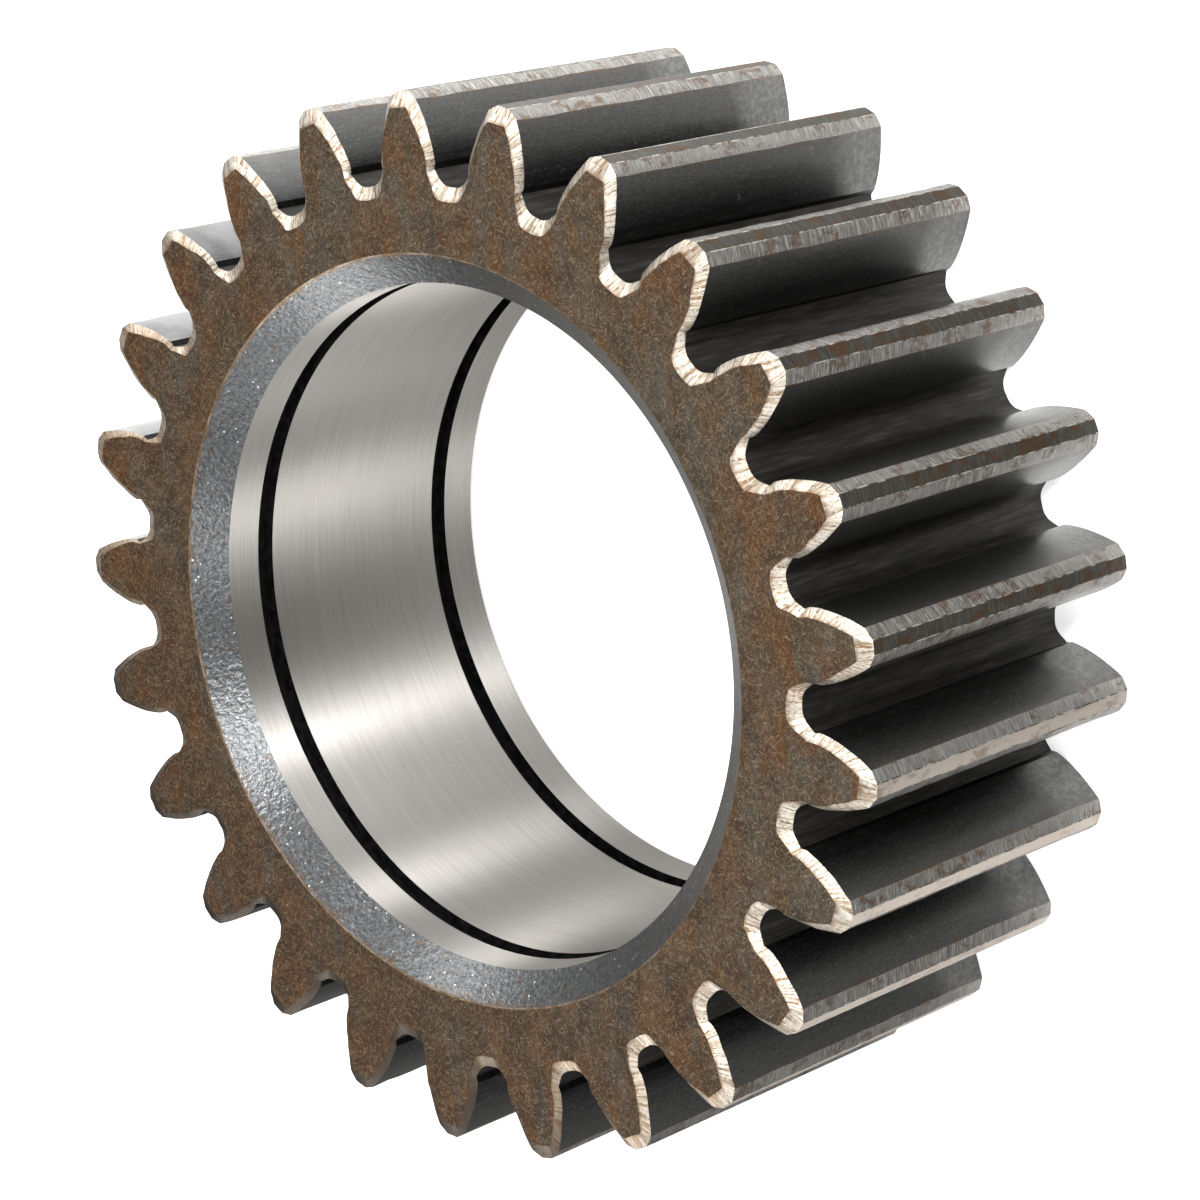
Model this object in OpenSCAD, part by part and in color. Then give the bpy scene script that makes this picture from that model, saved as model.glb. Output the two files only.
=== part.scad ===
// Planet gear: one solid steel ring with straight involute teeth on the outside and, inside,
// a ground bearing bore with a snap-ring groove near each end.
// Z up. The gear lies flat on its back face, with the origin on the bore axis at that face;
// the front face, with its wide bore chamfer and its trimmed tooth tips, is on top.

/* [Teeth] */
// Number of teeth
tooth_count = 25; // [23:1:34]
// Module: pitch diameter divided by the number of teeth
gear_module = 8; // [8:0.5:12]
// Pressure angle of the involute flanks, degrees
pressure_angle = 20; // [17:0.5:22]
// Width of the gear between its two end faces
face_w = 80; // [75:1:140]

/* [Tooth edges] */
// Width of the flat land left on top of each tooth
land_w = 2.9; // [1.5:0.1:3.5]
// How far below the tooth top the chamfer along each tip edge reaches
tip_chamfer_h = 1.4; // [0.5:0.1:2]
// Radius of the rounded corners at the bottom of the tooth gap
root_fillet_r = 3.6; // [2.5:0.1:4]
// Half the distance between the centres of the two root corners of a gap
root_flat_half = 0.7; // [0.4:0.1:1]
// Depth of the small step where the ground flank ends above the root
flank_step = 0.5; // [0.2:0.1:0.8]
// Height of the ground flank's lower end above the root circle
flank_foot_h = 5.4; // [4.8:0.1:6.5]

/* [Front end trimming] */
// How far the trimmed front end of each tooth tip reaches down the tooth
tip_trim_h = 1.5; // [0.5:0.1:3]
// How far it reaches in from the tooth tip
tip_trim_w = 3; // [1:0.1:4]

/* [Bore] */
// Diameter of the ground bore, which takes the outer rings of the planet bearings
bore_d = 140; // [100:1:155]
// Length of the bearing seat between the two snap-ring grooves
seat_l = 48; // [30:1:50]
// Length of the short bore land between the front chamfer and the first snap-ring groove
outer_land_l = 8.3; // [4:0.1:9]
// Radial width of the wide chamfer at the front end of the bore
front_chamfer_w = 6.5; // [3:0.1:7]
// Depth of that chamfer along the bore
front_chamfer_l = 5.5; // [3:0.1:7]
// Size of the small chamfer at the back end of the bore
back_chamfer = 1.6; // [0.5:0.1:2.5]

/* [Snap-ring grooves] */
// How deep each groove is cut below the bore
groove_depth = 2.5; // [1:0.1:4]
// Width of each groove
groove_w = 4.15; // [2:0.05:5]

/* [Hidden] */
$fn = 180;

r_pitch = gear_module * tooth_count / 2;
r_base = r_pitch * cos(pressure_angle);
r_tip = r_pitch + gear_module;
r_root = r_pitch - 1.25 * gear_module;
r_foot = max(r_root + flank_foot_h, r_base + 0.5);
gap_half = 180 / tooth_count;

// The bore from the front face down: chamfer, land, groove, seat, groove, land, back chamfer
z_front_land = face_w - front_chamfer_l;
z_groove_front = z_front_land - outer_land_l;
z_seat_top = z_groove_front - groove_w;
z_seat_foot = z_seat_top - seat_l;
z_groove_back = z_seat_foot - groove_w;

FLANK_STEPS = 6;
FILLET_STEPS = 5;

function roll(a) = tan(a) * 180 / PI - a;
// Half the angle that a tooth takes up at radius r
function half_angle(r) = 90 / tooth_count + roll(pressure_angle) - roll(acos(min(1, r_base / r)));
function at(r, a) = [r * cos(a), r * sin(a)];

// One flank from the tip chamfer down to the foot of the ground flank
r_flank = r_tip - tip_chamfer_h;
flank = [for (i = [0:FLANK_STEPS])
    let (r = r_flank + (r_foot - r_flank) * i / FLANK_STEPS) at(r, half_angle(r))];

// The gap below the flank, drawn about the gap's own centre line: the step, a short straight
// wall that meets the corner fillet as a tangent, and the fillet down to the root circle
foot = at(r_foot, gap_half - half_angle(r_foot));
step_pt = foot + [-flank_step, flank_step];
fillet_c = [sqrt(pow(r_root + root_fillet_r, 2) - pow(root_flat_half, 2)), root_flat_half];
to_step = step_pt - fillet_c;
a_wall = atan2(to_step[1], to_step[0]) + acos(root_fillet_r / norm(to_step));
a_root = 180 + atan2(fillet_c[1], fillet_c[0]);
gap_side = concat([step_pt], [for (i = [0:FILLET_STEPS])
    fillet_c + at(root_fillet_r, a_wall + (a_root - a_wall) * i / FILLET_STEPS)]);
function turned(p, a) = [p[0] * cos(a) + p[1] * sin(a), p[0] * sin(a) - p[1] * cos(a)];

// One side of a tooth from its top land to the bottom of the gap, then the whole outline
tooth_side = concat(
    [at(r_tip, asin(land_w / 2 / r_tip))],
    flank,
    [for (p = gap_side) turned(p, gap_half)]);
side_n = len(tooth_side);
tooth = concat([for (i = [side_n - 1:-1:0]) [tooth_side[i][0], -tooth_side[i][1]]], tooth_side);
outline = [for (k = [0:tooth_count - 1], p = tooth)
    let (a = 360 * k / tooth_count)
    [p[0] * cos(a) - p[1] * sin(a), p[0] * sin(a) + p[1] * cos(a)]];

// The toothed blank, with straight teeth over the whole width
module blank() {
    linear_extrude(height = face_w) polygon(outline);
}

// The cone that trims the front corners of the tooth tips
module tip_trim_cut() {
    over = 1;
    slope = tip_trim_w / tip_trim_h;
    rotate_extrude()
        polygon([
            [r_tip + slope * over, face_w - tip_trim_h - over],
            [r_tip + slope * over + over, face_w - tip_trim_h - over],
            [r_tip + slope * over + over, face_w + over],
            [r_tip - tip_trim_w - slope * over, face_w + over]]);
}

// Everything that is bored out, as one turned shape
module bore_cut() {
    r = bore_d / 2;
    rg = r + groove_depth;
    over = 1;
    rotate_extrude()
        polygon([
            [0, -over],
            [r + back_chamfer + over, -over],
            [r, back_chamfer],
            [r, z_groove_back],
            [rg, z_groove_back],
            [rg, z_seat_foot],
            [r, z_seat_foot],
            [r, z_seat_top],
            [rg, z_seat_top],
            [rg, z_groove_front],
            [r, z_groove_front],
            [r, z_front_land],
            [r + front_chamfer_w * (1 + over / front_chamfer_l), face_w + over],
            [0, face_w + over]]);
}

module planet_gear() {
    color("dimgray")
        difference() {
            blank();
            bore_cut();
            tip_trim_cut();
        }
}

planet_gear();
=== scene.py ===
import math

import bmesh
import bpy
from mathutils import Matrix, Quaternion, Vector, noise


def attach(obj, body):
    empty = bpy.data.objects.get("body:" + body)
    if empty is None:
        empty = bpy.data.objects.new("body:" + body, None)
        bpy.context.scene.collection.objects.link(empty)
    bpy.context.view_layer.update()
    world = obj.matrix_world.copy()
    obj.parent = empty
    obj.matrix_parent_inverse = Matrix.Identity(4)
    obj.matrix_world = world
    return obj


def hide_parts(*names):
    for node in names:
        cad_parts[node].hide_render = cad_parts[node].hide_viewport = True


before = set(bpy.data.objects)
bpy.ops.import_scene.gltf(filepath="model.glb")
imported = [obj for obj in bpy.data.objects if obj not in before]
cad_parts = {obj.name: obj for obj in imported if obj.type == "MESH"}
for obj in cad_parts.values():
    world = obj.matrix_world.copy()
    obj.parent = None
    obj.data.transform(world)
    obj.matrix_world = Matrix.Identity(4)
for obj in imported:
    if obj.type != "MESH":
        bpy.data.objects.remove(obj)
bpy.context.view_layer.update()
scene = bpy.context.scene

# Camera
# The gear lies on its back face, so the photograph's view is one from 45 degrees above its
# front face, with the camera rolled so that the bore runs away to the right.
LENS_MM = 117.9
SENSOR_MM = 36.0
CAMERA_PLACE = (0.57183, -0.01493, 0.61112)
LOOKS_AT = (0.0, -0.00186, 0.03601)
CAMERA_ROLL = math.radians(106.94)

camera_data = bpy.data.cameras.new("camera")
camera_data.lens = LENS_MM
camera_data.sensor_width = SENSOR_MM
camera = bpy.data.objects.new("camera", camera_data)
scene.collection.objects.link(camera)
camera.location = CAMERA_PLACE
line_of_sight = Vector(LOOKS_AT) - Vector(CAMERA_PLACE)
not_rolled = line_of_sight.to_track_quat("-Z", "Y")
camera.rotation_euler = (not_rolled @ Quaternion((0, 0, 1), -CAMERA_ROLL)).to_euler()
scene.camera = camera


# Floor and light
# A plain white sweep under the gear, lit by the room and nine soft boxes. To the camera floor
# and room are plain white, and the gear's soft shadow stays.
FLOOR_SIZE = 8
FLOOR_WHITE = "#f2f1ef"
FLOOR_GLOW = 0.72
ROOM_LIGHT = 0.20


def linear(hex_colour):
    """Turns an sRGB hex colour into linear light, with alpha 1."""
    parts = [int(hex_colour[i:i + 2], 16) / 255 for i in (1, 3, 5)]
    return tuple(c / 12.92 if c <= 0.04045 else ((c + 0.055) / 1.055) ** 2.4
                 for c in parts) + (1.0,)


def add(tree, kind, values=None, links=None, **settings):
    """Adds one node with its settings, input values and links."""
    new = tree.nodes.new(kind)
    for name, value in settings.items():
        setattr(new, name, value)
    for name, value in (values or {}).items():
        new.inputs[name].default_value = value
    for name, socket in (links or {}).items():
        tree.links.new(socket, new.inputs[name])
    return new


def ramp(tree, factor, *stops):
    """A colour that follows the factor through stops of place and colour."""
    new = add(tree, "ShaderNodeValToRGB", links={"Fac": factor})
    elements = new.color_ramp.elements
    while len(elements) < len(stops):
        elements.new(0.5)
    for element, (place, colour) in zip(elements, stops):
        element.position = place
        element.color = colour if len(colour) == 4 else linear(colour)
    return new.outputs[0]


def math_of(tree, operation, a, b):
    """One sum of two terms, each of them a plain number or a socket."""
    links = {i: s for i, s in ((0, a), (1, b)) if not isinstance(s, float)}
    values = {i: s for i, s in ((0, a), (1, b)) if isinstance(s, float)}
    return add(tree, "ShaderNodeMath", operation=operation, links=links, values=values).outputs[0]


def between(tree, value, low, high, to_low=0.0, to_high=1.0):
    """Maps low to high onto to_low to to_high, and clamps."""
    return add(tree, "ShaderNodeMapRange", links={"Value": value},
               values={"From Min": low, "From Max": high,
                       "To Min": to_low, "To Max": to_high}).outputs[0]


def by_compass(tree, vector, levels):
    """A brightness that changes round the compass, given as pairs of degrees and level."""
    turn = add(tree, "ShaderNodeTexGradient", gradient_type="RADIAL",
               links={"Vector": vector}).outputs["Fac"]
    return ramp(tree, turn, *sorted((((angle + 180) % 360) / 360, (level, level, level, 1))
                                    for angle, level in levels))


# The studio walls, by compass angle in degrees: white paper on most sides, a window-bright
# strip or two, and the dark side of the room beside the camera. The paper on the floor ends
# in front of the gear and carries a painted shadow of the gear inside the bore, so metal sees
# less white there.
WALLS = ((0, 0.12), (10, 0.40), (18, 1.00), (40, 0.80), (85, 1.00), (130, 0.90), (155, 0.45),
         (180, 0.25), (203, 0.40), (215, 0.80), (240, 0.35), (265, 0.30), (293, 0.80),
         (312, 0.50), (325, 0.06), (350, 0.06))
PAPER = ((0, 0.20), (25, 0.28), (50, 0.65), (80, 1.00), (150, 1.00), (175, 0.50), (200, 0.10),
         (270, 0.15), (300, 0.20), (340, 0.20))
PAPER_STARTS, PAPER_WHOLE = 0.095, 0.118
SHADE_STARTS, SHADE_WHOLE = 0.080, 0.070
SHADE_IN_BORE = 0.5

room = bpy.data.worlds.new("white_room")
room.use_nodes = True
tree = room.node_tree
tree.nodes.clear()
path = add(tree, "ShaderNodeLightPath").outputs
seen = math_of(tree, "MAXIMUM", path["Is Camera Ray"], path["Is Transmission Ray"])
walls = by_compass(tree, add(tree, "ShaderNodeTexCoord").outputs["Generated"], WALLS)
level = between(tree, path["Is Glossy Ray"], 0.0, 1.0, ROOM_LIGHT, 1.0)
lit = math_of(tree, "MAXIMUM", math_of(tree, "MULTIPLY", walls, level), seen)
glow = add(tree, "ShaderNodeBackground", values={"Color": (1, 1, 1, 1)}, links={"Strength": lit})
add(tree, "ShaderNodeOutputWorld", links={"Surface": glow.outputs[0]})
scene.world = room

bpy.ops.object.select_all(action="DESELECT")
bpy.ops.mesh.primitive_plane_add(size=FLOOR_SIZE, location=(0, 0, 0))
floor = bpy.context.object
floor.name = "floor"
paper = bpy.data.materials.new("white_paper")
paper.use_nodes = True
tree = paper.node_tree
tree.nodes.clear()
path = add(tree, "ShaderNodeLightPath").outputs
seen = math_of(tree, "MAXIMUM", path["Is Camera Ray"], path["Is Glossy Ray"])
seen = math_of(tree, "MAXIMUM", seen, path["Is Transmission Ray"])
matt = add(tree, "ShaderNodeBsdfDiffuse", values={"Color": linear(FLOOR_WHITE)})
white = add(tree, "ShaderNodeEmission",
            links={"Strength": math_of(tree, "MULTIPLY", seen, FLOOR_GLOW)})
both = add(tree, "ShaderNodeAddShader", links={0: matt.outputs[0], 1: white.outputs[0]})
spot = add(tree, "ShaderNodeTexCoord").outputs["Object"]
out = add(tree, "ShaderNodeVectorMath", operation="LENGTH", links={0: spot}).outputs["Value"]
# Painted shadow: glossy rays see the floor inside the bore darker.
painted_shade_in_bore = between(tree, out, SHADE_STARTS, SHADE_WHOLE, 0.0, SHADE_IN_BORE)
painted_shade_in_bore = math_of(tree, "MULTIPLY", painted_shade_in_bore, path["Is Glossy Ray"])
mirrored = math_of(tree, "MULTIPLY", between(tree, out, PAPER_STARTS, PAPER_WHOLE),
                   path["Is Glossy Ray"])
missing = math_of(tree, "SUBTRACT", 1.0, by_compass(tree, spot, PAPER))
missing = math_of(tree, "MULTIPLY", missing, mirrored)
missing = math_of(tree, "MAXIMUM", missing, painted_shade_in_bore)
paper_end = add(tree, "ShaderNodeMixShader", links={0: missing, 1: both.outputs[0]})
add(tree, "ShaderNodeOutputMaterial", links={"Surface": paper_end.outputs[0]})
floor.data.materials.append(paper)

# The soft boxes, each turned to the middle of the gear: compass angle and height angle in
# degrees, width and height in metres, and watts
LAMP_DISTANCE = 0.9
MIDDLE_OF_GEAR = Vector((0, 0, 0.04))
SOFT_BOXES = (("key_light", 17, 28, 0.10, 0.50, 2.6),
              ("upper_fill_light", 40, 28, 0.36, 0.50, 1.5),
              ("upper_right_light", 73, 31, 0.14, 0.50, 3.0),
              ("upper_left_light", 114, 26, 0.20, 0.50, 2.2),
              ("left_light", 219, 28, 0.26, 0.50, 2.5),
              ("lower_fill_light", 255, 28, 0.40, 0.50, 1.6),
              ("lower_light", 300, 34, 0.26, 0.50, 2.5),
              ("high_light", 17, 60, 0.10, 0.30, 3.5),
              ("high_side_light", 303, 55, 0.20, 0.20, 0.8))
for name, compass, raised, width, tall, watts in SOFT_BOXES:
    lamp = bpy.data.lights.new(name, "AREA")
    lamp.shape = "RECTANGLE"
    lamp.size, lamp.size_y, lamp.energy = width, tall, watts
    soft_box = bpy.data.objects.new(name, lamp)
    scene.collection.objects.link(soft_box)
    a, e = math.radians(compass), math.radians(raised)
    hung_at = Vector((math.cos(e) * math.cos(a), math.cos(e) * math.sin(a),
                      math.sin(e))) * LAMP_DISTANCE
    soft_box.location = hung_at
    soft_box.rotation_euler = (MIDDLE_OF_GEAR - hung_at).to_track_quat("-Z", "Y").to_euler()

scene.view_settings.view_transform = "Standard"


# The planet gear
# One ring of forged and case-hardened steel. The teeth are cut with a hob and ground, the
# front tooth ends are trimmed by hand with an angle grinder, and the bore, its wide chamfer
# and its two snap-ring grooves are turned, the bore then ground for the bearings.
TOOTH_COUNT = 25
PITCH_R = 0.100
PRESSURE_ANGLE = math.radians(20)
BASE_R = PITCH_R * math.cos(PRESSURE_ANGLE)
TIP_R = 0.108
ROOT_R = 0.090
FACE_W = 0.080
LAND_HALF = 0.00145
TIP_CHAMFER = 0.0014
FLANK_FOOT = 0.0044
STEP_DROP, STEP_DEPTH = 0.0014, 0.00022
FILLET_R = 0.0036
FILLET_HALF = 0.0007
GAP_HALF = math.pi / TOOTH_COUNT
EDGE_WEAR = 0.00013

# A tooth side runs from the middle of its land to the middle of the gap: the points over the
# land and the tip chamfer, then those of the flank, then the step and the root corner
TOP_POINTS = 5
FLANK_POINTS = 12
FLANK_END = TOP_POINTS + FLANK_POINTS
FILLET_POINTS = 8


def roll(angle):
    """The involute function of a pressure angle."""
    return math.tan(angle) - angle


def half_angle(r):
    """Half the angle that a tooth takes up at radius r, as in part.scad."""
    return (math.pi / 2 / TOOTH_COUNT + roll(PRESSURE_ANGLE)
            - roll(math.acos(min(1.0, BASE_R / r))))


def on_circle(r, angle):
    return Vector((r * math.cos(angle), r * math.sin(angle)))


def angle_of(point):
    return math.atan2(point.y, point.x)


def tooth_side(land_half, top_r, chamfer, inset, foot_r):
    """The land, the chamfer and the flank down to foot_r, with the flank moved in by inset."""
    corner = Vector((math.sqrt(top_r ** 2 - land_half ** 2), land_half))
    flank_top_r = top_r - chamfer
    turn = inset / BASE_R
    flank_top = on_circle(flank_top_r, half_angle(flank_top_r) - turn)
    slope = (flank_top - corner).normalized()
    points = [Vector((top_r, 0)), corner - Vector((0, EDGE_WEAR)),
              corner + slope * EDGE_WEAR, (corner + flank_top) / 2,
              flank_top - slope * EDGE_WEAR]
    first_r = flank_top_r - EDGE_WEAR
    for i in range(FLANK_POINTS):
        r = first_r + (foot_r - first_r) * i / (FLANK_POINTS - 1)
        points.append(on_circle(r, half_angle(r) - turn))
    return points


def to_tooth(point):
    """From a drawing about the gap's own centre line to one about the tooth's."""
    c, s = math.cos(GAP_HALF), math.sin(GAP_HALF)
    return Vector((point.x * c + point.y * s, point.x * s - point.y * c))


def gap_side(foot_r):
    """The step at the flank's foot and the root corner, down to the middle of the gap."""
    foot = on_circle(foot_r, GAP_HALF - half_angle(foot_r))
    step = foot + Vector((-STEP_DROP, STEP_DEPTH))
    centre = Vector((math.sqrt((ROOT_R + FILLET_R) ** 2 - FILLET_HALF ** 2), FILLET_HALF))
    reach = step - centre
    wall = angle_of(reach) + math.acos(FILLET_R / reach.length)
    bottom = math.pi + angle_of(centre)
    points = [step]
    for i in range(FILLET_POINTS - 1):
        corner_turn = wall + (bottom - wall) * i / (FILLET_POINTS - 2)
        points.append(centre + on_circle(FILLET_R, corner_turn))
    points = [to_tooth(p) for p in points]
    return points + [on_circle(ROOT_R, GAP_HALF)]


FOOT_R = ROOT_R + FLANK_FOOT
FLANK_TOP_R = TIP_R - TIP_CHAMFER
full_side = tooth_side(LAND_HALF, TIP_R, TIP_CHAMFER, 0.0, FOOT_R) + gap_side(FOOT_R)


def moved_in(side, distance):
    """Moves each point of a tooth side square to the side, into the steel."""
    middle_of_gap = side[-1].normalized()
    beyond = side[-2].dot(middle_of_gap) * 2 * middle_of_gap - side[-2]
    whole = [Vector((side[1].x, -side[1].y))] + side + [beyond]
    moved = []
    for i, point in enumerate(side):
        along = (whole[i + 2] - whole[i]).normalized()
        moved.append(point + Vector((-along.y, along.x)) * distance)
    return moved


def whole_tooth(lower, upper):
    """Both sides of a tooth, from the middle of one gap to the middle of the next."""
    return [Vector((p.x, -p.y)) for p in lower[:0:-1]] + upper


# The front edge is trimmed by hand in three strokes to a tooth: deep over the tip, down each
# flank, and round the root. The stroke down the one flank runs out thin at its foot.
TRIM_TIP, TRIM_FLANK, TRIM_ROOT, TRIM_DEPTH = 0.0030, 0.0018, 0.0025, 0.00145
TRIM_LOWER_FOOT, TRIM_UPPER_FOOT = 0.0007, 0.0015
TRIMMED_LAND_HALF = 0.0023
TRIMMED_CHAMFER = 0.0007
ROOT_STROKE_POINTS = 4
LEAST_TURN = 0.001


def trimmed(foot_trim):
    """The inner edge of the trimmed band along one side of a tooth."""
    side = tooth_side(TRIMMED_LAND_HALF, TIP_R - TRIM_TIP, TRIMMED_CHAMFER, TRIM_FLANK, FOOT_R)
    for i in range(TOP_POINTS, FLANK_END):
        thinner = (TRIM_FLANK - foot_trim) * (i - TOP_POINTS) / (FLANK_POINTS - 1)
        side[i] = on_circle(side[i].length, angle_of(side[i]) + thinner / BASE_R)
    last = len(full_side) - 1
    for i in range(FLANK_END, last + 1):
        r = full_side[i].length - TRIM_ROOT * min(1.0, (i - FLANK_END + 1) / ROOT_STROKE_POINTS)
        angle = (angle_of(full_side[i])
                 - foot_trim / ROOT_R * (last - i) / (last - FLANK_END + 1))
        side.append(on_circle(r, max(angle, angle_of(side[-1]) + LEAST_TURN)))
    return side


lower_trimmed, upper_trimmed = trimmed(TRIM_LOWER_FOOT), trimmed(TRIM_UPPER_FOOT)

BACK_BREAK = 0.0002
outline = whole_tooth(full_side, full_side)
back_side = moved_in(full_side, BACK_BREAK)
back_outline = whole_tooth(back_side, back_side)
front_outline = whole_tooth(lower_trimmed, upper_trimmed)
POINTS = len(outline)
MIDDLE = (POINTS - 1) // 2


def inner_angles(side):
    """Towards the bore each point stands up to a tenth nearer to the tooth's middle."""
    return [angle_of(p) * (0.9 + 0.1 * i / (len(side) - 1)) for i, p in enumerate(side)]


ring_angles = [-a for a in inner_angles(lower_trimmed)[:0:-1]] + inner_angles(upper_trimmed)


def ring(r):
    """The same number of points on a plain circle."""
    return [on_circle(r, angle) for angle in ring_angles]


(END_FACE, TRIMMED, LAND, TIP_SIDE, WORN, FLANK, ROOT, MOUTH, BORE, GROOVE_AND_FOOT_SHADOW) = range(10)


def wall_finish(i):
    """Which finish the strip between points i and i + 1 of a tooth has."""
    i = i - MIDDLE if i >= MIDDLE else MIDDLE - 1 - i
    if i < 1:
        return LAND
    if i == 1:
        return WORN
    if i < TOP_POINTS:
        return TIP_SIDE
    # The strip at the foot of each flank takes the near-black groove finish: a painted shadow.
    if i == FLANK_END - 1:
        return GROOVE_AND_FOOT_SHADOW
    return FLANK if i < FLANK_END else ROOT


BORE_R, GROOVE_R, MOUTH_R = 0.070, 0.0725, 0.0765
Z_MOUTH = 0.0745
Z_GROOVE_1, Z_SEAT_1 = 0.0662, 0.06205
Z_SEAT_2, Z_GROOVE_2 = 0.01405, 0.0099
BACK_CHAMFER = 0.0016
FACE_RING_R = 0.0855
WALL_ROWS = 22
MIDDLE_OF_TRIM = 0.46
EASE = 0.0002

# Each row is (points, height, finish of the strip that leads to it)
rows = [(back_outline, 0.0, None), (outline, BACK_BREAK, wall_finish)]
for i in range(1, WALL_ROWS + 1):
    wall_height = BACK_BREAK + (FACE_W - TRIM_DEPTH - BACK_BREAK) * i / WALL_ROWS
    rows.append((outline, wall_height, wall_finish))
middle = [a.lerp(b, 0.5) for a, b in zip(outline, front_outline)]
rows += [(middle, FACE_W - TRIM_DEPTH * MIDDLE_OF_TRIM, TRIMMED),
         (front_outline, FACE_W, TRIMMED),
         (ring(FACE_RING_R), FACE_W, END_FACE),
         (ring(MOUTH_R + EASE), FACE_W, END_FACE),
         (ring(MOUTH_R - EASE), FACE_W - EASE, WORN),
         (ring(BORE_R), Z_MOUTH, MOUTH)]
for r, z, finish in ((BORE_R, Z_GROOVE_1, BORE), (GROOVE_R, Z_GROOVE_1, GROOVE_AND_FOOT_SHADOW),
                     (GROOVE_R, Z_SEAT_1, GROOVE_AND_FOOT_SHADOW), (BORE_R, Z_SEAT_1, GROOVE_AND_FOOT_SHADOW),
                     (BORE_R, Z_SEAT_2, BORE), (GROOVE_R, Z_SEAT_2, GROOVE_AND_FOOT_SHADOW),
                     (GROOVE_R, Z_GROOVE_2, GROOVE_AND_FOOT_SHADOW), (BORE_R, Z_GROOVE_2, GROOVE_AND_FOOT_SHADOW),
                     (BORE_R, BACK_CHAMFER, BORE), (BORE_R + BACK_CHAMFER, 0.0, MOUTH),
                     (FACE_RING_R, 0.0, END_FACE)):
    rows.append((ring(r), z, finish))
rows.append((back_outline, 0.0, END_FACE))

# The first row is drawn point by point, and each next row is extruded from the last one
bpy.ops.object.select_all(action="DESELECT")
bpy.ops.mesh.primitive_plane_add(size=0.001, calc_uvs=False)
gear = bpy.context.object
gear.name = "gear"
bpy.ops.object.mode_set(mode="EDIT")
bpy.ops.mesh.select_mode(type="VERT")
bpy.ops.mesh.merge(type="CENTER")
points, height, _ = rows[0]
bpy.ops.transform.translate(value=(points[0].x, points[0].y, height))
for here, there in zip(points, points[1:]):
    bpy.ops.mesh.extrude_vertices_move(
        TRANSFORM_OT_translate={"value": (there.x - here.x, there.y - here.y, 0)})
bpy.ops.mesh.select_all(action="SELECT")

# The mesh's own UV map: along the tooth outline in metres, and 0 to 1 across each strip
mesh = bmesh.from_edit_mesh(gear.data)
mesh.loops.layers.uv.new("across_the_edge")
along = [0.0]
for here, there in zip(outline, outline[1:]):
    along.append(along[-1] + (there - here).length)
for (points, _, _), (next_points, next_height, finish) in zip(rows, rows[1:]):
    bpy.ops.mesh.extrude_region_move(TRANSFORM_OT_translate={"value": (0, 0, 0)})
    mesh = bmesh.from_edit_mesh(gear.data)
    across = mesh.loops.layers.uv.active
    nearest = {}
    for vertex in mesh.verts:
        if vertex.select:
            near = min(range(POINTS), key=lambda i: (vertex.co.xy - points[i]).length_squared)
            nearest[vertex] = near
            vertex.co = (next_points[near].x, next_points[near].y, next_height)
    for edge in mesh.edges:
        if edge.select:
            first = min(nearest[v] for v in edge.verts)
            face = edge.link_faces[0]
            face.material_index = finish(first) if callable(finish) else finish
            for loop in face.loops:
                if loop.vert in nearest:
                    loop[across].uv = (along[nearest[loop.vert]], 1.0)
                else:
                    old = min((first, first + 1),
                              key=lambda i: (loop.vert.co.xy - points[i]).length_squared)
                    loop[across].uv = (along[old], 0.0)
    bmesh.update_edit_mesh(gear.data)

# One tooth is spun round into twenty-five
SAME_PLACE = 0.00001
bpy.ops.mesh.select_all(action="SELECT")
bpy.ops.mesh.spin(steps=TOOTH_COUNT - 1, dupli=True,
                  angle=2 * math.pi * (TOOTH_COUNT - 1) / TOOTH_COUNT,
                  center=(0, 0, 0), axis=(0, 0, 1))
bpy.ops.mesh.select_all(action="SELECT")
bpy.ops.mesh.remove_doubles(threshold=SAME_PLACE)
bpy.ops.mesh.normals_make_consistent(inside=False)

# Hand grinding and use leave no edge quite straight: the trimmed edge wanders, and so do the
# lines where the tip chamfers meet the flanks. On the gear's left the grinder took less.
WANDER = 0.00028
STRAIGHT_BELOW_R, STRAIGHT_BELOW_Z = 0.0862, 0.004
SHORT_WAVES, SHORTER_WAVES = 260, 620
LONG_WAVES = Vector((30, 30, 160))
LIGHTLY_TRIMMED = Vector((-0.94, -0.34))
LESS_WIDE, LESS_DEEP = 0.0003, 0.42
ABOVE_LINE, BELOW_LINE = 0.0002, 0.0004
SMOOTH_ANGLE = math.radians(24)
mesh = bmesh.from_edit_mesh(gear.data)
mesh.normal_update()
for vertex in mesh.verts:
    r = vertex.co.xy.length
    z = vertex.co.z
    if r < STRAIGHT_BELOW_R or z < STRAIGHT_BELOW_Z:
        continue
    drift = noise.noise(vertex.co * SHORT_WAVES) + 0.5 * noise.noise(vertex.co * SHORTER_WAVES)
    less = (vertex.co.xy.normalized().dot(LIGHTLY_TRIMMED) + 0.2) / 0.7
    less = min(1.0, max(0.0, less))
    if z > FACE_W - SAME_PLACE:
        out = WANDER * (0.5 + drift) - LESS_WIDE * less
        vertex.co.xy -= vertex.normal.xy.normalized() * out
    elif z > FACE_W - TRIM_DEPTH * 1.2:
        vertex.co.z += WANDER * 0.8 * (drift - 0.3) + (FACE_W - z) * LESS_DEEP * less
    elif FLANK_TOP_R - BELOW_LINE < r < FLANK_TOP_R + ABOVE_LINE:
        slow = noise.noise(vertex.co * LONG_WAVES)
        vertex.co.xy -= vertex.co.xy.normalized() * WANDER * (0.5 + slow)
for edge in mesh.edges:
    finishes = {face.material_index for face in edge.link_faces}
    edge.smooth = len(finishes) == 1
bmesh.update_edit_mesh(gear.data)
bpy.ops.object.mode_set(mode="OBJECT")
bpy.ops.object.shade_smooth_by_angle(angle=SMOOTH_ANGLE, keep_sharp_edges=True)


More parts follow.
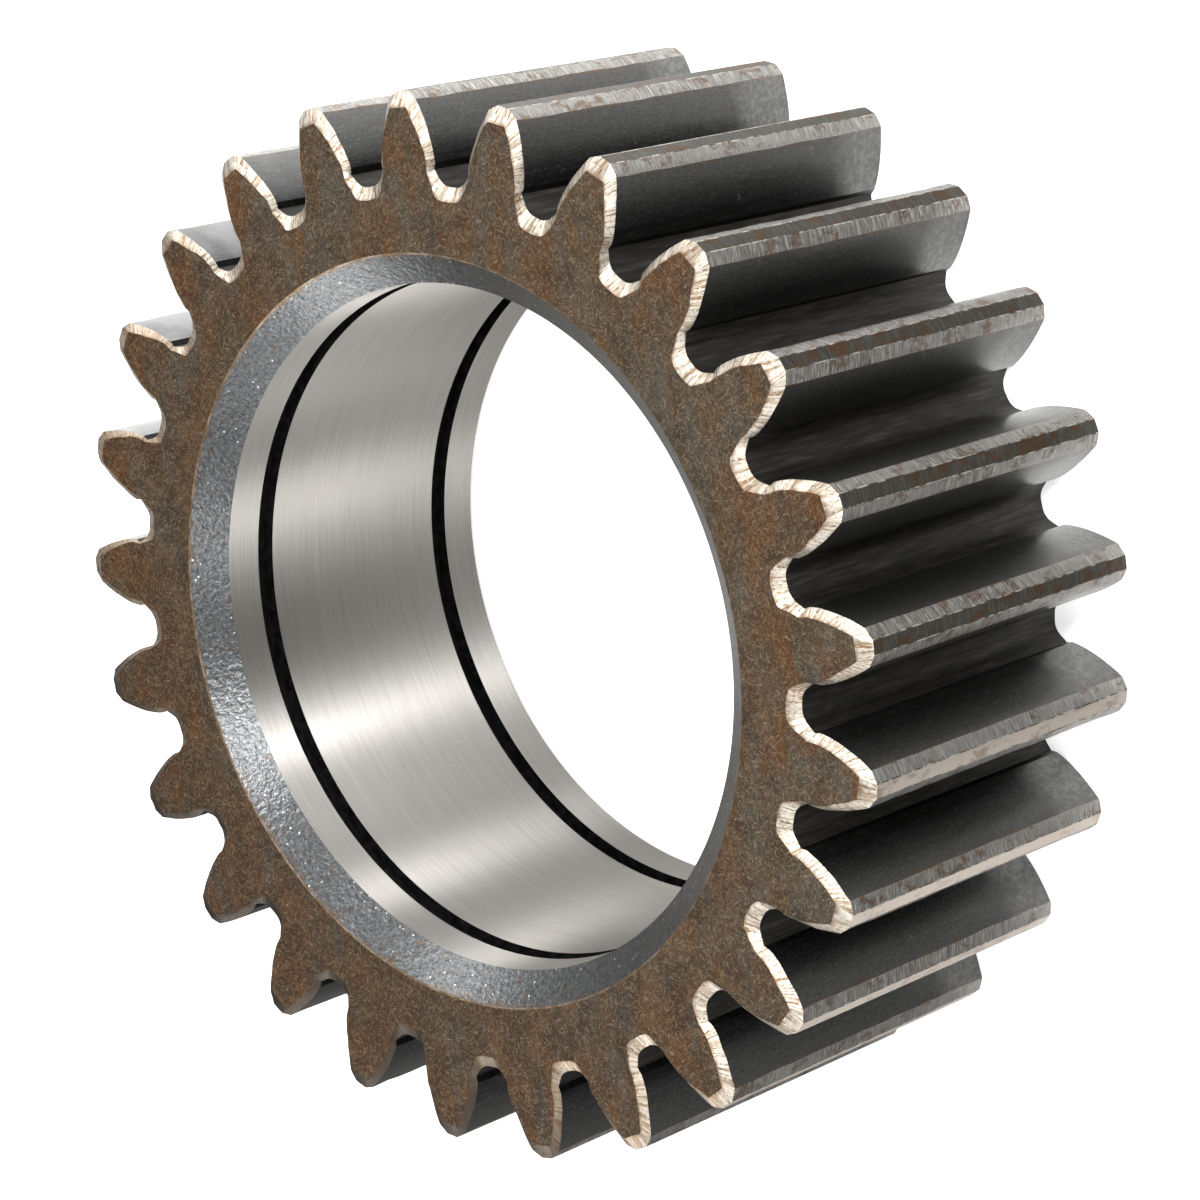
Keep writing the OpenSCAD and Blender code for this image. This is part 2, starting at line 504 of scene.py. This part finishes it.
def new_finish(name):
    """A material with an empty tree, and its object coordinates in metres."""
    material = bpy.data.materials.new(name)
    material.use_nodes = True
    tree = material.node_tree
    tree.nodes.clear()
    place = add(tree, "ShaderNodeTexCoord").outputs["Object"]
    gear.data.materials.append(material)
    return tree, place


def scaled(tree, vector, scale):
    return add(tree, "ShaderNodeMapping", values={"Scale": scale},
               links={"Vector": vector}).outputs[0]


def laid(tree, vector, degrees, stretch):
    """Coordinates in which a pattern lies in the given direction, drawn out along it."""
    return add(tree, "ShaderNodeMapping", vector_type="TEXTURE", links={"Vector": vector},
               values={"Rotation": (0, 0, math.radians(degrees)),
                       "Scale": (stretch, 1, 1)}).outputs[0]


def radius_of(tree, place):
    """The distance from the bore's axis."""
    return add(tree, "ShaderNodeVectorMath", operation="LENGTH",
               links={0: scaled(tree, place, (1, 1, 0))}).outputs["Value"]


def height_of(tree, place):
    """The height above the back face."""
    return add(tree, "ShaderNodeSeparateXYZ", links={"Vector": place}).outputs[2]


def towards(tree, place, x, y):
    """How far out a point lies towards the side of the gear that x and y give."""
    return add(tree, "ShaderNodeVectorMath", operation="DOT_PRODUCT", values={1: (x, y, 0)},
               links={0: place}).outputs["Value"]


def cloud(tree, vector, per_metre, detail=3.0, rough=0.55):
    """Noise with a feature size of one over per_metre."""
    return add(tree, "ShaderNodeTexNoise", links={"Vector": vector},
               values={"Scale": per_metre, "Detail": detail,
                       "Roughness": rough}).outputs["Fac"]


def blend(tree, factor, a, b):
    """Mixes colour b into a."""
    links = {6: a, 7: b}
    values = {i: linear(c) for i, c in links.items() if isinstance(c, str)}
    links = {i: c for i, c in links.items() if not isinstance(c, str)}
    links[0] = factor
    return add(tree, "ShaderNodeMix", data_type="RGBA", links=links, values=values).outputs[2]


def fibres(tree, vector, turns, low, high):
    """Short fine scratches, 0.3 mm wide and 1.4 mm long, that lie in the given directions."""
    most = 0.0
    for turn in turns:
        threads = cloud(tree, laid(tree, vector, turn, 4.2), 2900 + turn, 1.0)
        most = math_of(tree, "MAXIMUM", between(tree, threads, low, high), most)
    return most


def hair_lines(tree, vector, per_metre, width, gaps):
    """Thin curly lines, 1 on a line: where a noise crosses its middle, broken up by another."""
    waves = cloud(tree, vector, per_metre, 1.0, 0.4)
    off = math_of(tree, "ABSOLUTE", math_of(tree, "SUBTRACT", waves, 0.5), 0.0)
    line_mask = between(tree, off, 0.0, width, 1.0, 0.0)
    broken = between(tree, cloud(tree, vector, per_metre * 1.3, 2.0), gaps, gaps + 0.05)
    return math_of(tree, "MULTIPLY", line_mask, broken)


def finish_with(tree, colour, metallic, roughness, bump=None, depth=0.0, **extra):
    """Ends a tree in one shader, with a bump of the given depth in metres."""
    links = {"Base Color": colour}
    values = {}
    for name, value in (("Metallic", metallic), ("Roughness", roughness)):
        (values if isinstance(value, float) else links)[name] = value
    if bump:
        links["Normal"] = add(tree, "ShaderNodeBump", links={"Height": bump},
                              values={"Strength": 1.0, "Distance": depth}).outputs[0]
    shader = add(tree, "ShaderNodeBsdfPrincipled", values=values, links=links)
    for name, value in extra.items():
        shader.inputs[name.replace("_", " ")].default_value = value
    add(tree, "ShaderNodeOutputMaterial", links={"Surface": shader.outputs[0]})
    return shader


# End faces: turned steel under a thin brown rust film, warmer towards the tooth tips and
# heavier on one side, matted with short curly scratches, light ones and dark ones.
CURL = 0.0016
tree, place = new_finish("rusted_turned_steel")
radius = radius_of(tree, place)
smears = laid(tree, place, 75, 2.6)
film = cloud(tree, smears, 190, 4.0, 0.62)
tone = ramp(tree, film,
            (0.36, "#4c473e"), (0.45, "#4d4338"), (0.54, "#4d3d2c"), (0.64, "#513a22"))
heavier_side = between(tree, towards(tree, place, 0.87, 0.50), 0.06, -0.09, -0.03, 0.09)
warm = math_of(tree, "ADD", cloud(tree, smears, 105, 5.0, 0.62), heavier_side)
warm = math_of(tree, "MULTIPLY", between(tree, warm, 0.46, 0.58),
               between(tree, radius, 0.078, 0.098, 0.60, 1.0))
tone = blend(tree, math_of(tree, "MULTIPLY", warm, 0.85), tone, "#5a3715")
dull = math_of(tree, "ADD", cloud(tree, place, 150, 4.0, 0.6), heavier_side)
tone = blend(tree, between(tree, dull, 0.44, 0.64, 0.0, 0.66), tone, "#2c2117")
swirl = add(tree, "ShaderNodeTexNoise", links={"Vector": place},
            values={"Scale": 380.0, "Detail": 1.0}).outputs["Color"]
swirl = add(tree, "ShaderNodeVectorMath", operation="MULTIPLY_ADD", links={0: swirl, 2: place},
            values={1: (CURL, CURL, 0.0)}).outputs[0]
light_ones = fibres(tree, swirl, (8, 52, 97, 143), 0.60, 0.72)
tone = blend(tree, math_of(tree, "MULTIPLY", light_ones, 0.40), tone, "#9b8a70")
dark_ones = fibres(tree, swirl, (30, 75, 119, 165), 0.58, 0.68)
tone = blend(tree, math_of(tree, "MULTIPLY", dark_ones, 0.50), tone, "#241b12")
felt = math_of(tree, "SUBTRACT", light_ones, dark_ones)
specks = add(tree, "ShaderNodeTexVoronoi", values={"Scale": 420.0}, links={"Vector": place})
speck = between(tree, specks.outputs["Distance"], 0.08, 0.05)
tone = blend(tree, math_of(tree, "MULTIPLY", speck, 0.5), tone, "#b9ae9d")
finish_with(tree, tone, 0.25, 0.62, felt, 0.00004, Specular_IOR_Level=0.25)

# Trimmed ends: bare steel left by a hand grinder, whose lines run across the band about
# 0.4 mm apart, with rust starting in them and along the inner edge. Browner on the gear's
# left, and darkened by painted shade at the lower left.
tree, place = new_finish("hand_ground_steel")
edge_uv = add(tree, "ShaderNodeUVMap", uv_map="across_the_edge").outputs[0]
lines_at = add(tree, "ShaderNodeVectorMath", operation="ADD",
               links={0: scaled(tree, edge_uv, (1.0, 0.0002, 0.0)),
                      1: scaled(tree, place, (0.10, 0.10, 0.10))}).outputs[0]
marks = cloud(tree, lines_at, 2300, 3.0, 0.65)
strokes = cloud(tree, lines_at, 700, 2.0, 0.6)
tone = ramp(tree, marks,
            (0.35, "#635442"), (0.42, "#978b79"), (0.49, "#b5ada0"), (0.62, "#c8c3bb"))
tone = blend(tree, between(tree, strokes, 0.48, 0.36, 0.0, 0.50), tone, "#785f43")
rust = math_of(tree, "MULTIPLY", between(tree, marks, 0.49, 0.38),
               between(tree, cloud(tree, place, 150, 2.0), 0.42, 0.60))
height = height_of(tree, place)
inner_edge = math_of(tree, "MULTIPLY",
                     between(tree, height, FACE_W - 0.00035, FACE_W - 0.00010),
                     between(tree, cloud(tree, place, 600, 2.0), 0.40, 0.55))
rust = math_of(tree, "MAXIMUM", rust, inner_edge)
tone = blend(tree, math_of(tree, "MULTIPLY", rust, 0.70), tone, "#7d5c3c")
browner_side = towards(tree, place, -0.94, -0.34)
tone = blend(tree, between(tree, browner_side, -0.005, 0.045, 0.0, 0.48), tone, "#80643f")
# Painted shade: the band darkens towards the lower left.
painted_shade_side = towards(tree, place, -0.819, -0.574)
tone = blend(tree, between(tree, painted_shade_side, 0.050, 0.080, 0.0, 0.95), tone, "#302821")
finish_with(tree, tone, 0.80, 0.42, marks, 0.00010)

# Tooth lands: the turned outside of the blank, dark and blotched with rust, with a painted
# highlight on one side of the gear, where the lands turn pale, less rusty and less metallic.
tree, place = new_finish("dark_rusted_land")
ticks = cloud(tree, scaled(tree, place, (0.12, 0.12, 1.0)), 2600, 3.0, 0.65)
tone = ramp(tree, ticks, (0.32, "#383733"), (0.50, "#474640"), (0.68, "#5d5b54"))
# Painted highlight: the lands on one side of the gear turn pale and less metallic.
painted_highlight_side = between(tree, towards(tree, place, 0.602, -0.799), 0.088, 0.104)
tone = blend(tree, painted_highlight_side, tone, "#cfc3b8")
rust = cloud(tree, scaled(tree, place, (1, 1, 0.6)), 300, 4.0, 0.7)
rust = math_of(tree, "MULTIPLY", between(tree, rust, 0.51, 0.60),
               between(tree, painted_highlight_side, 0.0, 1.0, 0.80, 0.25))
tone = blend(tree, rust, tone, "#53361a")
finish_with(tree, tone, between(tree, painted_highlight_side, 0.0, 1.0, 0.7, 0.3), 0.42, ticks, 0.00004)

# Tip chamfers: milled with a fine feed, so lines cross them about 0.4 mm apart; silver-grey
# with brown patches.
tree, place = new_finish("milled_chamfer_steel")
ticks = cloud(tree, scaled(tree, place, (0.12, 0.12, 1.0)), 2600, 3.0, 0.65)
tone = ramp(tree, ticks,
            (0.30, "#6e6b66"), (0.46, "#8f8c87"), (0.58, "#adaba7"), (0.70, "#d8d6d2"))
bare = between(tree, cloud(tree, place, 28, 1.0), 0.42, 0.60)
tone = blend(tree, math_of(tree, "MULTIPLY", bare, 0.50), tone, "#b0aeab")
rust = cloud(tree, scaled(tree, place, (1, 1, 0.7)), 300, 4.0, 0.7)
rust = math_of(tree, "MULTIPLY", between(tree, rust, 0.53, 0.61), 0.60)
tone = blend(tree, rust, tone, "#6d4a26")
finish_with(tree, tone, 0.92, 0.40, ticks, 0.00005)

# Worn edges: corners rubbed bright by handling, broken by nicks, and brown round the bore.
tree, place = new_finish("rubbed_edge_steel")
nicks = cloud(tree, place, 420, 3.0, 0.7)
tone = ramp(tree, nicks, (0.42, "#57514a"), (0.50, "#98938c"), (0.60, "#d3d0ca"))
round_the_bore = between(tree, radius_of(tree, place), 0.090, 0.085, 0.0, 0.75)
tone = blend(tree, round_the_bore, tone, "#83684a")
finish_with(tree, tone, 0.85, 0.38)

# Flanks: case-hardened and ground steel, dark as gunmetal, with faint lines along the tooth,
# small scratches, a lighter pitted patch near the back end, painted light that grows towards
# the tip, and patches of painted light at the upper left.
BORDER_OUT, BORDER_IN = FLANK_TOP_R - 0.0003, FLANK_TOP_R - 0.0006
tree, place = new_finish("hardened_flank_steel")
streaks = cloud(tree, scaled(tree, place, (1.0, 1.0, 0.10)), 1500, 4.0, 0.7)
tone = ramp(tree, streaks, (0.30, "#1b1b1b"), (0.50, "#282828"), (0.70, "#3a3a3a"))
radius = radius_of(tree, place)
# Painted light: the flank grows lighter towards the tip.
tone = blend(tree, between(tree, radius, 0.0975, FLANK_TOP_R, 0.0, 0.5), tone, "#6b6b69")
grain = cloud(tree, scaled(tree, place, (1, 1, 0.4)), 2600, 3.0, 0.75)
tone = blend(tree, between(tree, grain, 0.54, 0.72, 0.0, 0.40), tone, "#777674")
tone = blend(tree, between(tree, grain, 0.48, 0.32, 0.0, 0.45), tone, "#0d0d0d")
rust = math_of(tree, "MULTIPLY", between(tree, radius, 0.1048, FLANK_TOP_R),
               between(tree, cloud(tree, place, 260, 3.0, 0.65), 0.47, 0.60))
tone = blend(tree, math_of(tree, "MULTIPLY", rust, 0.5), tone, "#5c4128")
border = math_of(tree, "MULTIPLY", between(tree, radius, BORDER_IN, BORDER_OUT),
                 between(tree, cloud(tree, place, 340, 3.0, 0.7), 0.44, 0.52))
tone = blend(tree, math_of(tree, "MULTIPLY", border, 0.75), tone, "#775432")
scratch = hair_lines(tree, place, 260, 0.008, 0.60)
tone = blend(tree, math_of(tree, "MULTIPLY", scratch, 0.5), tone, "#8a8a88")
back_end = math_of(tree, "ADD", between(tree, height_of(tree, place), 0.022, 0.006),
                   math_of(tree, "SUBTRACT", cloud(tree, place, 90), 0.5))
pits = between(tree, cloud(tree, place, 800, 3.0, 0.7), 0.44, 0.60, 0.45, 1.0)
worn = math_of(tree, "MULTIPLY", between(tree, back_end, 0.40, 0.80), pits)
tone = blend(tree, math_of(tree, "MULTIPLY", worn, 0.6), tone, "#858583")
# Painted light: flanks on the gear's upper left turn lighter in patches.
painted_light_side = between(tree, towards(tree, place, -0.766, 0.643), 0.068, 0.092)
painted_light_patches = between(tree, cloud(tree, place, 70, 3.0), 0.40, 0.60, 0.25, 0.75)
tone = blend(tree, math_of(tree, "MULTIPLY", painted_light_side, painted_light_patches), tone, "#8f9092")
finish_with(tree, tone, 0.85, 0.42, streaks, 0.00003, Coat_Weight=0.65, Coat_Roughness=0.25)

# Roots: as hobbed, never ground, dull brownish grey.
tree, place = new_finish("hobbed_root_steel")
streaks = cloud(tree, scaled(tree, place, (1.0, 1.0, 0.10)), 1100, 4.0, 0.65)
tone = ramp(tree, streaks, (0.32, "#1f1e1d"), (0.52, "#2f2e2b"), (0.68, "#45423d"))
finish_with(tree, tone, 0.7, 0.5, streaks, 0.00004)

# Bore chamfer: turned and then left matt by heat treatment, with painted glints: pale specks
# in its fine grain. Rust spots it and creeps in from the end face.
tree, place = new_finish("matt_turned_chamfer")
grain = cloud(tree, place, 1400, 2.0, 0.7)
tone = ramp(tree, grain,
            (0.34, "#454749"), (0.45, "#565758"), (0.56, "#5e5f5f"), (0.68, "#6d6e6e"))
specks = add(tree, "ShaderNodeTexVoronoi", values={"Scale": 1300.0}, links={"Vector": place})
chosen = add(tree, "ShaderNodeSeparateColor",
             links={"Color": specks.outputs["Color"]}).outputs[0]
# Painted glints: a few grain cells turn pale.
painted_glint = math_of(tree, "MULTIPLY", between(tree, specks.outputs["Distance"], 0.34, 0.16),
                  between(tree, chosen, 0.955, 0.965))
spots = between(tree, cloud(tree, place, 420, 3.0, 0.7), 0.62, 0.68)
near_face = between(tree, height_of(tree, place), FACE_W - 0.0012, FACE_W - 0.0003)
creeping = math_of(tree, "MULTIPLY", near_face,
                   between(tree, cloud(tree, place, 260, 4.0, 0.7), 0.50, 0.60))
spots = math_of(tree, "MAXIMUM", spots, creeping)
tone = blend(tree, math_of(tree, "MULTIPLY", spots, 0.6), tone, "#5b432a")
tone = blend(tree, math_of(tree, "MULTIPLY", painted_glint, 0.8), tone, "#dfe1e3")
ripple = cloud(tree, place, 720, 3.0, 0.62)
finish_with(tree, tone, 0.88, 0.29, ripple, 0.00016)

# Ground bore: satin bearing seat, whose grinding lines run round it, so that each light
# spreads into a band along the bore.
tree, place = new_finish("ground_bore_steel")
rings = cloud(tree, scaled(tree, place, (0.02, 0.02, 1.0)), 2600, 4.0, 0.7)
tone = ramp(tree, rings, (0.30, "#b2afaa"), (0.50, "#bcb9b4"), (0.70, "#c5c3be"))
shader = finish_with(tree, tone, 1.0, 0.44, rings, 0.000006,
                     Anisotropic=1.0, Anisotropic_Rotation=0.25)
round_it = add(tree, "ShaderNodeTangent", direction_type="RADIAL", axis="Z").outputs[0]
tree.links.new(round_it, shader.inputs["Tangent"])

# Snap-ring grooves: narrow and near black, with a thin glint here and there. The dark line
# at the foot of each flank has this finish too, as a painted shadow.
tree, place = new_finish("black_groove_and_foot_shadow")
rings = cloud(tree, scaled(tree, place, (0.3, 0.3, 1.0)), 1500, 2.0)
tone = ramp(tree, rings, (0.40, "#0b0b0b"), (0.75, "#2a2a2a"))
finish_with(tree, tone, 0.6, 0.4)

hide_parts("planet_gear")
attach(gear, "root")
